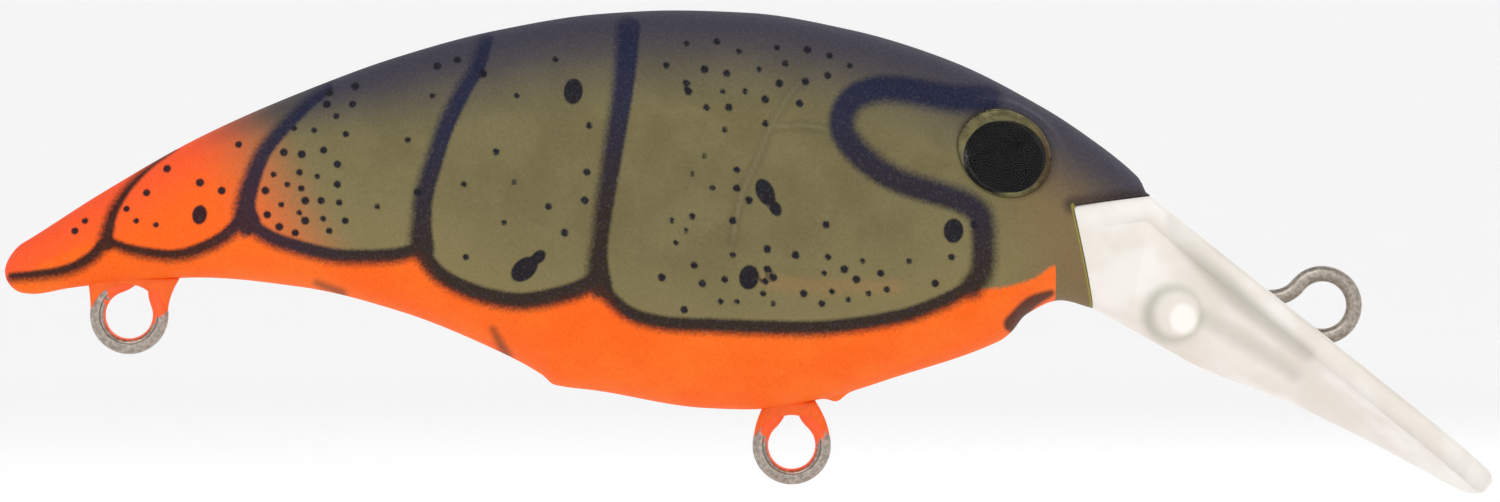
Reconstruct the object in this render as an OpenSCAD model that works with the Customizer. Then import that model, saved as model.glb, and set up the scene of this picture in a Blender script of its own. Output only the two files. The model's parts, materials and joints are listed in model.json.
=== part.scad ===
// Deep-diving crankbait lure, unrigged. Two moulded half shells are welded
// along the middle plane. They clamp a clear diving lip and two bent-wire
// hook hangers, and they hold inset eyes, fixed ballast and loose rattle balls.
// Millimetres. +X points to the nose, +Z to the back, +Y to the left side.
// The origin is the centre of the line-tie eye.

/* [Body] */
// Length of the body from the tail tip to the nose
body_len = 57.2; // [47:0.2:69]
// Depth of the body from the back to the belly
body_h = 20; // [16.6:0.2:24]
// Greatest width of the body
body_w = 11.6; // [10:0.1:14]
// Wall of each half shell
wall = 1.2; // [1:0.05:1.45]
// Radius of the rounded tail tip along the body
tail_r = 0.9; // [0.6:0.1:1.4]

/* [Diving lip] */
// Length of the blade from the nose to its tip
lip_len = 22.3; // [18.5:0.1:27]
// Angle of the blade's top face below the horizontal
lip_angle = 39.2; // [33:0.1:42]
// Greatest width of the blade
lip_w = 14.5; // [12:0.1:17.5]
// Thickness of the blade along its edges
plate_t = 1.2; // [1:0.05:1.5]
// Depth of the keel under the nose, measured across the blade
keel_depth = 6.3; // [5.8:0.1:7.5]
// Thickness of the tongue that the shells clamp
tongue_t = 2.6; // [2:0.1:3.2]
// Length of the tongue behind the lip's shoulder
tongue_len = 5.6; // [5.2:0.1:6.6]
// Clearance of the lip in the mouth of the head
lip_gap = 0.05; // [0.03:0.01:0.1]

/* [Wire fittings] */
// Diameter of the stainless wire
wire_d = 0.8; // [0.65:0.05:0.95]
// Clearance of the wire in its moulded pockets
wire_gap = 0.03; // [0.02:0.01:0.06]
// Hole of each eye, between its coined inner faces
eye_bore = 2.4; // [2:0.05:2.9]
// Depth of the coined face inside an eye
coin = 0.03; // [0.02:0.01:0.05]
// Centreline radius of the anchor loop
anchor_r = 1.05; // [0.95:0.05:1.3]
// Centreline radius of the bends at the neck
neck_r = 1.6; // [1.4:0.05:1.9]
// Gap between the two strands of wire at the neck
neck_gap = 0.3; // [0.25:0.05:0.4]
// Gap between the two ends of the wire
end_gap = 0.3; // [0.2:0.05:0.5]
// Distance of the belly eye's centre below the belly
belly_eye_drop = 2; // [1.7:0.05:2.2]
// Distance of the tail eye's centre below the tail
tail_eye_drop = 1.65; // [1.5:0.05:1.9]
// Lean of the tail hanger's neck towards the nose
tail_lean = 25; // [15:1:30]
// Distance of the line-tie eye along the blade from the nose
tie_along = 10.2; // [9.4:0.1:11.5]
// Height of the line-tie eye's centre above the blade
tie_up = 1.25; // [1.2:0.05:1.6]
// Straight length of the line tie's neck inside the lip
tie_neck = 3.5; // [2.9:0.1:3.8]
// Slope of the line tie's neck below the horizontal
tie_slope = 4; // [0:1:8]

/* [Eyes] */
// Diameter of the moulded eye socket
socket_d = 5; // [4.2:0.1:5.2]
// Clearance round an eye in its socket
eye_gap = 0.1; // [0.05:0.05:0.2]
// Diameter of the black pupil
pupil_d = 3.9; // [3.2:0.1:4.2]
// Drop of the pupil below the middle of the eye
pupil_drop = 0.2; // [0:0.05:0.3]
// Height of the clear dome over the eye disc
dome_h = 0.65; // [0.5:0.05:0.9]
// Depth of the eye disc's face below the skin
eye_depth = 0.5; // [0.4:0.05:0.7]
// Thickness of the eye disc
disc_t = 0.3; // [0.2:0.05:0.4]

/* [Weights] */
// Diameter of the front and middle ballast balls
ballast_d = 5; // [4:0.1:5.4]
// Diameter of the rear ballast ball
rear_ballast_d = 4; // [3.2:0.1:4.4]
// Clearance of a ballast ball in its cups
ballast_gap = 0.05; // [0.03:0.01:0.1]
// Wall of a ballast cup
cup_wall = 0.7; // [0.5:0.05:0.9]
// Diameter of the three large rattle balls
rattle_d = 3; // [2.5:0.1:3.2]
// Diameter of the two small rattle balls
small_rattle_d = 2.2; // [1.8:0.1:2.5]
// Clearance of a rattle ball in its tunnel, each side
rattle_gap = 0.3; // [0.2:0.05:0.4]
// Wall of a rattle tunnel
tunnel_wall = 0.6; // [0.5:0.05:0.8]

/* [Joining pins] */
// Diameter of the pins that line up the shells
pin_d = 1.2; // [1:0.05:1.4]
// Radial clearance of a pin in its hole
pin_gap = 0.05; // [0.03:0.01:0.1]
// Wall of the boss round a pin
boss_wall = 0.6; // [0.5:0.05:0.8]
// Reach of a pin into the left shell
pin_reach = 1.5; // [1.2:0.1:1.8]

/* [Hidden] */
$fn = 48;

// Side outlines as [percent of body length, percent of body depth].
back_line = [[0, 4.6], [1.7, 7.3], [8.3, 19.3], [17, 33.5], [26, 44.9], [34.5, 53.8],
             [43, 60.3], [52, 64.4], [58.5, 65.3], [65, 64.7], [74, 60.4],
             [82.5, 52.9], [91, 40.6], [95.5, 32], [98, 26.4], [100, 21]];
belly_line = [[0.5, -5], [2.5, -5.7], [5.5, -4.3], [8, -3.4], [17, -1.6], [26, -4], [34.5, -10],
              [43, -19.8], [47, -26], [48, -28.4], [52, -30], [61, -34.2],
              [65, -34.6], [71.5, -31.9], [78, -26.4], [87, -17.4], [88, -15.2],
              [89.2, -11], [92.3, -7.3], [95, -9.2], [100, -12.5]];
// Height of the widest part of the section along the body.
waist_line = [[0, 0], [17, 11], [35, 15], [58, 12], [80, 9], [100, 6]];
tail_tip_z = 0;
// Half width along the body, as a percentage of the greatest half width.
width_line = [[0, 15], [2, 20], [9, 30], [17.5, 45], [31.5, 70], [45.5, 90],
              [60, 100], [73, 98], [84, 86], [91, 73], [96, 62], [100, 50]];
// Roundness of the section above the waist: 2 is an ellipse, less is leaner.
shoulder_line = [[0, 2], [50, 1.95], [75, 1.85], [88, 1.7], [100, 1.7]];
belly_power = 2.1;

// Blade outline: half width against length, then keel depth against length.
plan_line = [[0, 47], [20, 56], [45, 77], [65, 94], [82, 100]];
keel_line = [[0, 100], [31, 82], [54, 57], [77, 38], [92, 28], [100, 22]];
tip_from = 0.72;
tip_power = 2.5;

// Places as [share of body length, share of body depth].
cavity_from = 0.205;
cavity_to = 0.902;
mouth_back = [0.931, 0.165];
mouth_front = [1, 0.19];
mouth_lean = 12;
eye_at = [0.874, 0.302];
belly_eye_at = 0.688;
tail_eye_at = 0.109;
front_ballast_at = 0.773;
middle_ballast_at = 0.597;
rear_ballast_at = 0.48;
rattle_at = [[0.785, 0.215], [0.62, 0.22], [0.5, 0.2], [0.4, 0.19], [0.31, 0.175]];
back_pin_at = [[0.35, 0.41], [0.54, 0.5], [0.7, 0.47]];
tongue_pin_at = [2.2, 4.4];
tongue_span = [-0.01, 0.15];

wire_sides = 14;
section_steps = 12;
station_step = 1.6;
skin_margin = 0.3;

// ---- smooth curves through knots, without overshoot ----
function secant(k, i) = (k[i + 1][1] - k[i][1]) / (k[i + 1][0] - k[i][0]);
function between(a, b) = a * b <= 0 ? 0 : 2 * a * b / (a + b);
function knot_slope(k, i) =
    i == 0 ? secant(k, 0) :
    i == len(k) - 1 ? secant(k, i - 1) : between(secant(k, i - 1), secant(k, i));
function span_of(k, x, i = 0) =
    i >= len(k) - 2 || x <= k[i + 1][0] ? i : span_of(k, x, i + 1);
function curve(k, x) =
    let(i = span_of(k, x), h = k[i + 1][0] - k[i][0],
        t = min(1, max(0, (x - k[i][0]) / h)), s = 1 - t)
    s * s * (1 + 2 * t) * k[i][1] + t * t * (1 + 2 * s) * k[i + 1][1]
    + h * t * s * (s * knot_slope(k, i) - t * knot_slope(k, i + 1));
function mix(a, b, t) = a + (b - a) * t;
function smooth(a, b, x) = let(t = min(1, max(0, (x - a) / (b - a)))) t * t * (3 - 2 * t);

// ---- skin of the body ----
function percent(x) = 100 * x / body_len;
function tail_round(x) = x >= tail_r ? 1 : sqrt(max(0, 1 - pow(1 - x / tail_r, 2)));
function outline(line, x) =
    mix(tail_tip_z, curve(line, percent(x)) * body_h / 100, tail_round(x));
function top_z(x) = outline(back_line, x);
function bottom_z(x) = outline(belly_line, x);
function waist_z(x) = outline(waist_line, x);
function half_w(x) = tail_round(x) * curve(width_line, percent(x)) * body_w / 200;
function power_above(x) = curve(shoulder_line, percent(x));

// Half width of the skin at x and height z.
function skin_y(x, z) =
    let(w = waist_z(x), up = z >= w, n = up ? power_above(x) : belly_power,
        q = up ? (z - w) / (top_z(x) - w) : (w - z) / (w - bottom_z(x)))
    q >= 1 ? 0 : half_w(x) * pow(1 - pow(q, n), 1 / n);
function skin_normal(x, z) =
    let(d = 0.5, n = [(skin_y(x - d, z) - skin_y(x + d, z)) / (2 * d), -1,
                      (skin_y(x, z - d) - skin_y(x, z + d)) / (2 * d)])
    n / norm(n);
// Depth from the middle plane to which a feature of radius r may be rooted.
function root_y(at, r) =
    min([for (a = [0 : 45 : 315]) skin_y(at[0] + r * cos(a), at[1] + r * sin(a))])
    - skin_margin;

// ---- places ----
function place(shares) = [shares[0] * body_len, shares[1] * body_h];

nose = place(mouth_front);
shoulder = place(mouth_back);
blade_dir = [cos(lip_angle), -sin(lip_angle)];
blade_up = [sin(lip_angle), cos(lip_angle)];
function on_blade(s, n) = nose + s * blade_dir + n * blade_up;

wire_r = wire_d / 2;
eye_r = eye_bore / 2 + wire_r - coin;
neck_h = wire_r + neck_gap / 2;
neck_v = neck_r + neck_h;
neck_u = sqrt(pow(eye_r + neck_r, 2) - pow(neck_v, 2));
anchor_u = sqrt(pow(anchor_r + neck_r, 2) - pow(neck_v, 2));
hanger_len = neck_u + anchor_u;

function below_belly(share, drop) =
    let(x = share * body_len) [x, bottom_z(x) - drop];
belly_eye = below_belly(belly_eye_at, belly_eye_drop);
tail_eye = below_belly(tail_eye_at, tail_eye_drop);
tie_eye = on_blade(tie_along, tie_up);
belly_neck = 90;
tail_neck = 90 - tail_lean;
tie_angle = 180 + tie_slope;
function anchor_of(eye, a, straight) =
    eye + (hanger_len + straight) * [cos(a), sin(a)];
belly_anchor = anchor_of(belly_eye, belly_neck, 0);
tail_anchor = anchor_of(tail_eye, tail_neck, 0);
tie_anchor = anchor_of(tie_eye, tie_angle, tie_neck);

socket_r = socket_d / 2;
disc_r = socket_r - eye_gap;
pupil_t = 0.06;
eye_spot = place(eye_at);
eye_normal = skin_normal(eye_spot[0], eye_spot[1]);
eye_tilt = acos(eye_normal[2]);
eye_turn = atan2(eye_normal[1], eye_normal[0]);

function ballast_at(share, d) =
    let(x = share * body_len) [x, bottom_z(x) + wall + ballast_gap + d / 2];
front_ball = ballast_at(front_ballast_at, ballast_d);
middle_ball = ballast_at(middle_ballast_at, ballast_d);
rear_ball = ballast_at(rear_ballast_at, rear_ballast_d);

rattle_sizes = [rattle_d, rattle_d, rattle_d, small_rattle_d, small_rattle_d];
function tunnel_r(i) = rattle_sizes[i] / 2 + rattle_gap;
function tunnel_end(i) = root_y(place(rattle_at[i]), tunnel_r(i) + tunnel_wall) - 0.4;

pin_r = pin_d / 2;
anchor_pin_r = anchor_r - wire_r - pin_gap;
clamp_face = wire_r + wire_gap;
tongue_face = tongue_t / 2 + lip_gap;
back_pins = [for (s = back_pin_at) place(s)];
tongue_z = [for (s = tongue_span) s * body_h];
tongue_pins = [for (d = tongue_pin_at)
    [shoulder[0] - d, (tongue_z[0] + tongue_z[1]) / 2]];
function pin_tip(at, face) = min(face + pin_reach, root_y(at, pin_r) - 0.5);

// ---- shared solids ----
module framed() {
    translate([-tie_eye[0], 0, -tie_eye[1]]) children();
}

// Cylinder across the body, from y0 to y1, at [x, z].
module across(at, r, y0, y1) {
    translate([at[0], y0, at[1]]) rotate([-90, 0, 0]) cylinder(r = r, h = y1 - y0);
}

// Side-view polygon carried across the body, from -y to y.
module slab(points, y) {
    translate([0, y, 0]) rotate([90, 0, 0]) linear_extrude(2 * y) polygon(points);
}

module ball(at, d) {
    translate([at[0], 0, at[1]]) sphere(d = d);
}

// Closed solid through rings of equal length that run along +X.
module loft(rings) {
    n = len(rings[0]);
    last = len(rings) - 1;
    sides = [for (i = [0 : last - 1]) for (j = [0 : n - 1])
        let(a = i * n + j, b = i * n + (j + 1) % n)
        for (f = [[a, a + n, b + n], [a, b + n, b]]) f];
    start = cap_faces(n);
    end = [for (f = start) [for (k = [2, 1, 0]) last * n + f[k]]];
    polyhedron(points = [for (r = rings) for (p = r) p], faces = concat(sides, start, end));
}

// Cap of a ring whose second half runs back alongside its first.
function cap_faces(n) = [for (j = [0 : n / 2 - 2])
    let(m = n - 1 - j, front = j < n / 4)
    for (f = front ? [[j, j + 1, m], [j + 1, m - 1, m]]
                   : [[j, j + 1, m - 1], [j, m - 1, m]]) f];

// ---- half shell ----
// Point of the skin at x, drawn in by inset, at turn a (90 back, -90 belly).
function section_point(x, a, inset) =
    let(up = a >= 0, n = up ? power_above(x) : belly_power, w = waist_z(x),
        h = (up ? top_z(x) - w : w - bottom_z(x)) - inset)
    [(half_w(x) - inset) * pow(max(0, cos(a)), 2 / n),
     w + sign(a) * h * pow(abs(sin(a)), 2 / n)];

// The wall is thicker behind an eye, so that the socket keeps its floor.
socket_boss = 1.7;
function eye_boss(x, z) =
    socket_boss * (1 - smooth(socket_r - 0.2, socket_r + 1.4, norm([x, z] - eye_spot)));

turns = [for (k = [0 : section_steps]) 90 - 180 * k / section_steps];
function on_plane(a) = abs(a) == 90;
function outer_arc(x) = [for (a = turns)
    let(p = section_point(x, a, 0)) [x, on_plane(a) ? 0 : -p[0], p[1]]];
function inner_arc(x) = [for (k = [section_steps : -1 : 0])
    let(a = turns[k], p = section_point(x, a, wall))
    [x, on_plane(a) ? 0 : -max(0.1, p[0] - eye_boss(x, p[1])), p[1]]];
function closed_arc(x) = [for (k = [section_steps : -1 : 0])
    [x, 0, mix(bottom_z(x), top_z(x), 0.1 + 0.8 * (1 - k / section_steps))]];
function shell_ring(x, hollow) = concat(outer_arc(x), hollow ? inner_arc(x) : closed_arc(x));

function spread(from, to) =
    let(n = ceil((to - from) / station_step)) [for (i = [0 : n]) mix(from, to, i / n)];
cavity_ramp = 0.3;
hollow_from = cavity_from * body_len;
hollow_to = cavity_to * body_len;
tail_turns = [12 : 13 : 77];

module half_skin() {
    loft(concat([for (a = tail_turns) shell_ring(tail_r * (1 - cos(a)), false)],
                [for (x = spread(tail_r, hollow_from - cavity_ramp)) shell_ring(x, false)],
                [for (x = spread(hollow_from, hollow_to)) shell_ring(x, true)],
                [for (x = spread(hollow_to + cavity_ramp, body_len)) shell_ring(x, false)]));
}

// Right-hand half of a hollow ball that stands on the belly wall.
module cup_body(at, d) {
    r = d / 2 + cup_wall;
    translate([at[0], 0, at[1]]) intersection() {
        sphere(r = r);
        translate([-2 * r, -2 * r, -2 * r]) cube([4 * r, 2 * r, 4 * r]);
    }
}

module tunnel_body(i) {
    r = tunnel_r(i) + tunnel_wall;
    across(place(rattle_at[i]), r, -root_y(place(rattle_at[i]), r), 0);
}

module boss(at, r, face) {
    across(at, r, -root_y(at, r), -face);
}

module mouth() {
    reach = lip_len;
    slope = (nose - shoulder) / norm(nose - shoulder);
    slab([shoulder, shoulder + reach * slope, shoulder + reach * [1, -1],
          shoulder + reach * [sin(mouth_lean), -cos(mouth_lean)]], body_w);
}

function tongue_outline(gap) =
    let(x0 = shoulder[0] - tongue_len - gap, x1 = shoulder[0] + 1.5,
        z0 = tongue_z[0] - gap, z1 = tongue_z[1] + gap)
    [[x0, z0], [x1, z0], [x1, z1], [x0, z1]];

module at_eye() {
    translate([eye_spot[0], -skin_y(eye_spot[0], eye_spot[1]), eye_spot[1]])
        rotate([0, eye_tilt, eye_turn]) translate([0, 0, -eye_depth - disc_t]) children();
}

// Everything that the two shells have in common, as the right-hand shell.
module half_shell() {
    difference() {
        union() {
            half_skin();
            cup_body(front_ball, ballast_d);
            cup_body(middle_ball, ballast_d);
            cup_body(rear_ball, rear_ballast_d);
            for (i = [0 : len(rattle_at) - 1]) tunnel_body(i);
            for (p = back_pins) boss(p, pin_r + boss_wall, 0);
            for (p = tongue_pins) boss(p, pin_r + boss_wall, tongue_face);
            boss(belly_anchor, anchor_r + wire_r, clamp_face);
        }
        ball(front_ball, ballast_d + 2 * ballast_gap);
        ball(middle_ball, ballast_d + 2 * ballast_gap);
        ball(rear_ball, rear_ballast_d + 2 * ballast_gap);
        for (i = [0 : len(rattle_at) - 1])
            across(place(rattle_at[i]), tunnel_r(i), -tunnel_end(i), 1);
        mouth();
        slab(tongue_outline(lip_gap), tongue_face);
        hanger_pocket(belly_eye, belly_neck);
        hanger_pocket(tail_eye, tail_neck);
        at_eye() cylinder(r = socket_r, h = 5);
    }
}

module pins(gap) {
    for (p = back_pins) across(p, pin_r + gap, -0.5, pin_tip(p, 0) + 2 * gap);
    for (p = tongue_pins)
        across(p, pin_r + gap, -tongue_face - 0.5, pin_tip(p, tongue_face) + 2 * gap);
    for (p = [belly_anchor, tail_anchor])
        across(p, anchor_pin_r + gap, -clamp_face - 0.5, pin_tip(p, clamp_face) + 2 * gap);
}

module right_shell() {
    color("olive") framed() union() {
        half_shell();
        pins(0);
    }
}

module left_shell() {
    color("darkolivegreen") framed() difference() {
        mirror([0, 1, 0]) half_shell();
        pins(pin_gap);
    }
}

// ---- diving lip ----
// Top and bottom of the section that starts p along the blade. Behind the
// nose the sections fan round to lie flat against the shoulder of the mouth.
fan_end = 0.31 * lip_len;
mouth_run = norm(nose - shoulder) - lip_gap;
lip_top_gap = [0, -lip_gap];
shoulder_drop = (shoulder[1] - bottom_z(shoulder[0] + 1)) / cos(mouth_lean);
chin = shoulder + [lip_gap, 0] + shoulder_drop * [sin(mouth_lean), -cos(mouth_lean)];
function keel(p) = curve(keel_line, 100 * p / lip_len) * keel_depth / 100;
function section_top(p) =
    p < 0 ? mix(nose, shoulder, -p / norm(nose - shoulder)) + lip_top_gap
          : on_blade(p, -lip_gap - tip_drop(p));
function section_bottom(p) =
    p < fan_end ? mix(chin, on_blade(fan_end, -keel(fan_end)),
                      (p + mouth_run) / (fan_end + mouth_run))
                : on_blade(p, tip_drop(p) - keel(p));
function tip_drop(p) = 0.35 * pow(max(0, p / lip_len - 0.96) / 0.04, 2);

tip_start = tip_from * lip_len;
function plan_half(p) =
    let(t = min(1, max(0, (p - tip_start) / (lip_len - tip_start))))
    curve(plan_line, 100 * p / lip_len) * lip_w / 200
    * pow(1 - pow(t, tip_power), 1 / tip_power);

// Half width at share v of the way down: the head's own section at the
// shoulder, and a flat plate over a bell-shaped keel further out.
function head_half(v) =
    let(p = mix(shoulder, chin, v)) v >= 1 ? 0 : skin_y(p[0], p[1]);
function bell_half(v) = sqrt(max(0, 1 - pow(v, 0.45)));

edge_r = 0.2;
ridge = 0.06;
under = [for (j = [0 : 10]) (1 - cos(18 * j)) / 2];
function lip_half(p) =
    let(d = norm(section_bottom(p) - section_top(p)), w = plan_half(p),
        m = smooth(-mouth_run, fan_end, p), t = min(plate_t, 0.8 * d),
        slim = half_w(min(body_len, section_top(p)[0])) / half_w(shoulder[0]),
        width = function(depth, plate)
            max(ridge, mix(head_half(depth / d) * slim, plate, m)))
    concat([[width(0, w) - edge_r, 0], [width(edge_r, w), edge_r]],
           [for (v = under) [width(mix(t, d, v), w * bell_half(v)), mix(t, d, v)]]);
function lip_ring(p) =
    let(top = section_top(p), drop = section_bottom(p) - top, half = lip_half(p),
        n = len(half), at = function(i, side)
            let(q = top + half[i][1] * drop / norm(drop)) [q[0], side * half[i][0], q[1]])
    concat([for (i = [0 : n - 1]) at(i, -1)], [for (i = [n - 1 : -1 : 0]) at(i, 1)]);
lip_stations = concat(
    [for (i = [0 : 3]) mix(-mouth_run, 0, i / 3)],
    [for (i = [1 : 10]) mix(0, tip_start, i / 10)],
    [for (a = [15 : 14 : 85]) mix(tip_start, lip_len, pow(sin(a), 2 / tip_power))]);

// Round boss on each flank of the keel, over the line tie's anchor loop.
tie_boss_r = 1.35;
tie_boss_y = 2.3;

module diving_lip() {
    color("antiquewhite") framed() difference() {
        union() {
            loft([for (p = lip_stations) lip_ring(p)]);
            slab(tongue_outline(0), tongue_t / 2);
            across(tie_anchor + [0, 0.3], tie_boss_r, -tie_boss_y, tie_boss_y);
        }
        wire_form(tie_eye, tie_angle, tie_neck, (wire_r + wire_gap) / cos(22.5), 8);
        for (p = tongue_pins) across(p, pin_r + pin_gap, -tongue_t, tongue_t);
    }
}

// ---- wire fittings ----
// Half of the wire's centreline in its own plane, as [along, aside, heading]:
// from the open end of the anchor loop, round the neck, to the far side of the eye.
function turn_list(from, to, n) = [for (i = [0 : n]) mix(from, to, i / n)];
function half_path(straight) =
    let(loop_x = hanger_len + straight, end_turn = asin(end_gap / 2 / anchor_r),
        in_turn = atan2(neck_v, neck_u), out_turn = atan2(neck_v, anchor_u))
    concat(
        [for (a = turn_list(end_turn, 180 - out_turn, 8))
            [loop_x + anchor_r * cos(a), anchor_r * sin(a), a + 90]],
        [for (a = turn_list(352 - out_turn, 270, 4))
            [neck_u + straight + neck_r * cos(a), neck_v + neck_r * sin(a), a - 90]],
        [for (a = turn_list(straight > 0 ? 270 : 262, 180 + in_turn, 4))
            [neck_u + neck_r * cos(a), neck_v + neck_r * sin(a), a - 90]],
        [for (a = turn_list(in_turn + 8, 180, 12)) [eye_r * cos(a), eye_r * sin(a), a + 90]]);
function wire_path(straight) =
    let(half = half_path(straight), n = len(half))
    concat(half, [for (i = [n - 2 : -1 : 0]) [half[i][0], -half[i][1], 180 - half[i][2]]]);
function wire_ring(s, r, sides) = [for (k = [0 : sides - 1])
    let(t = 180 / sides + 360 * k / sides)
    [s[0] - r * cos(t) * sin(s[2]), s[1] + r * cos(t) * cos(s[2]), r * sin(t)]];

module in_plane_of(eye, a) {
    translate([eye[0], 0, eye[1]]) rotate([0, -a, 0]) children();
}

module wire_form(eye, a, straight, r, sides) {
    in_plane_of(eye, a) rotate([90, 0, 0])
        loft([for (s = wire_path(straight)) wire_ring(s, r, sides)]);
}

module wire(eye, a, straight) {
    difference() {
        wire_form(eye, a, straight, wire_r, wire_sides);
        across(eye, eye_bore / 2, -wire_d, wire_d);
    }
}

// Flat pocket for a hanger, half in each shell: the top of its eye, its neck
// and its anchor loop.
module hanger_pocket(eye, a) {
    r = wire_r + wire_gap;
    start = 0.9;
    flare = neck_v - sqrt(pow(neck_r, 2) - pow(neck_u - start - 0.4, 2)) + r;
    in_plane_of(eye, a) {
        rotate([90, 0, 0]) cylinder(r = eye_r + r, h = 2 * r, center = true);
        translate([start, -r, -flare]) cube([hanger_len - start, 2 * r, 2 * flare]);
        translate([hanger_len, 0, 0]) rotate([90, 0, 0])
            cylinder(r = anchor_r + r, h = 2 * r, center = true);
    }
}

module line_tie() {
    color("lightsteelblue") framed() wire(tie_eye, tie_angle, tie_neck);
}

module belly_hanger() {
    color("orangered") framed() wire(belly_eye, belly_neck, 0);
}

module tail_hanger() {
    color("tomato") framed() wire(tail_eye, tail_neck, 0);
}

// ---- eyes ----
module eye_disc() {
    at_eye() cylinder(r = disc_r, h = disc_t);
}

module eye_pupil() {
    at_eye() translate([pupil_drop, 0, disc_t]) cylinder(d = pupil_d, h = pupil_t);
}

// Clear cap with a short straight side and a spherical top.
module eye_dome() {
    rim = 0.25;
    rise = dome_h - rim;
    cap_r = (disc_r * disc_r + rise * rise) / (2 * rise);
    at_eye() difference() {
        rotate_extrude() intersection() {
            translate([0, disc_t + dome_h - cap_r]) circle(r = cap_r, $fn = 240);
            translate([0, disc_t]) square([disc_r, dome_h]);
        }
        translate([pupil_drop, 0, 0])
            cylinder(r = pupil_d / 2 + 0.02, h = disc_t + pupil_t + 0.02);
    }
}

module right_eye_disc() { color("darkkhaki") framed() eye_disc(); }
module right_eye_pupil() { color("black") framed() eye_pupil(); }
module right_eye_dome() { color("whitesmoke") framed() eye_dome(); }
module left_eye_disc() { color("darkkhaki") framed() mirror([0, 1, 0]) eye_disc(); }
module left_eye_pupil() { color("black") framed() mirror([0, 1, 0]) eye_pupil(); }
module left_eye_dome() { color("whitesmoke") framed() mirror([0, 1, 0]) eye_dome(); }

// ---- weights ----
module front_ballast() { color("dimgray") framed() ball(front_ball, ballast_d); }
module middle_ballast() { color("dimgray") framed() ball(middle_ball, ballast_d); }
module rear_ballast() { color("dimgray") framed() ball(rear_ball, rear_ballast_d); }
module rattle_ball(i) {
    color("silver") framed() ball(place(rattle_at[i]), rattle_sizes[i]);
}

right_shell();
left_shell();
diving_lip();
line_tie();
belly_hanger();
tail_hanger();
right_eye_disc();
right_eye_pupil();
right_eye_dome();
left_eye_disc();
left_eye_pupil();
left_eye_dome();
front_ballast();
middle_ballast();
rear_ballast();
rattle_ball(0);  // rattle_ball_1
rattle_ball(1);  // rattle_ball_2
rattle_ball(2);  // rattle_ball_3
rattle_ball(3);  // rattle_ball_4
rattle_ball(4);  // rattle_ball_5
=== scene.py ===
import json
import math

import bpy
import numpy as np
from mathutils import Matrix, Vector


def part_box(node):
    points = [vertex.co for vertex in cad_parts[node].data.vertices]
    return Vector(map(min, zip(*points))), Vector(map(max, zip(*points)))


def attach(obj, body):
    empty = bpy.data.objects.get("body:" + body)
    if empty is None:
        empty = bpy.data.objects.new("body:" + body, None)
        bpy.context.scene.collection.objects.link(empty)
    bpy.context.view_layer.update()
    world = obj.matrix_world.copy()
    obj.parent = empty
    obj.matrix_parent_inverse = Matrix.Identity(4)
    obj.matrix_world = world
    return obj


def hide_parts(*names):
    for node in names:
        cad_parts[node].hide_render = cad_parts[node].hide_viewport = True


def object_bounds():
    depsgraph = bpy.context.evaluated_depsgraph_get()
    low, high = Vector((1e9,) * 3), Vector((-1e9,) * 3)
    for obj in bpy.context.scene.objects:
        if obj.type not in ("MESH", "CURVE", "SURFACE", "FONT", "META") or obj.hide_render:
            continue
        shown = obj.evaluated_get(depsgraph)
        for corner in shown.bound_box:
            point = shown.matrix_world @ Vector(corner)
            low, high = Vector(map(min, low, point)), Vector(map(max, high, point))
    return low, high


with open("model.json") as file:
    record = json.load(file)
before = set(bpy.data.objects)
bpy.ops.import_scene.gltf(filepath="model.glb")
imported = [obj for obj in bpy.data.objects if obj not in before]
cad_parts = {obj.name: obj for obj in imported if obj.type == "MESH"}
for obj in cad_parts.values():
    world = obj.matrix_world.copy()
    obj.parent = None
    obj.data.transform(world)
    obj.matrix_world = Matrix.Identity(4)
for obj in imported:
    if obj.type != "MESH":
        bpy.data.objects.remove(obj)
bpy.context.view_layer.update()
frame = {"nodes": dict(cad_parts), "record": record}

mm = 0.001

# The body's own measure: u runs from the tail tip towards the nose, v is the
# height above the line-tie eye, both in millimetres. Places are shares of length and depth.
skin = {"baseShare": 0.653, "tipRadius": 0.9, "lowPower": 2.1, "shoulder": (0.931, 0.165),
        "nose": (1, 0.19), "eye": (0.874, 0.302), "mouthDegrees": 12, "chinDrop": 7}
shellLow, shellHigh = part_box("right_shell")
tailX = shellLow.x
bodyLength = (shellHigh.x - shellLow.x) / mm
bodyDepth = (shellHigh.z - shellLow.z) / mm
bodyWidth = 2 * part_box("left_shell")[1].y / mm
baseV = shellHigh.z / mm - skin["baseShare"] * bodyDepth


def onBody(along, rise):
    # along times the body's length, and the base height plus rise times its depth
    return np.array([along * bodyLength, baseV + rise * bodyDepth])


shoulder, nose, eyeSpot = (onBody(*skin[k]) for k in ("shoulder", "nose", "eye"))
mouthLean = math.tan(math.radians(skin["mouthDegrees"]))
chin = shoulder + [skin["chinDrop"] * mouthLean, -skin["chinDrop"]]


def curveAt(knots, x):
    # cubic between knots; the slope at a knot is the harmonic mean of its two spans, or flat at a turn
    k = np.array(knots, float)
    h = np.diff(k[:, 0])
    s = np.diff(k[:, 1]) / h
    same = s[:-1] * s[1:] > 0
    middle = np.where(same, 2 * s[:-1] * s[1:] / np.where(same, s[:-1] + s[1:], 1), 0)
    m = np.concatenate([s[:1], middle, s[-1:]])
    x = np.asarray(x, float)
    i = np.clip(np.searchsorted(k[:, 0], x) - 1, 0, len(h) - 1)
    t = np.clip((x - k[i, 0]) / h[i], 0, 1)
    r = 1 - t
    ends = r * r * (1 + 2 * t) * k[i, 1] + t * t * (1 + 2 * r) * k[i + 1, 1]
    return ends + h[i] * t * r * (r * m[i] - t * m[i + 1])


def ease(a, b, x):
    # 0 below a, 1 above b, three t squared less two t cubed between them
    t = np.clip((np.asarray(x, float) - a) / (b - a), 0, 1)
    return t * t * (3 - 2 * t)


def mix(a, b, t):
    # a plus t times the way from a to b
    return a + (b - a) * t


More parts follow.
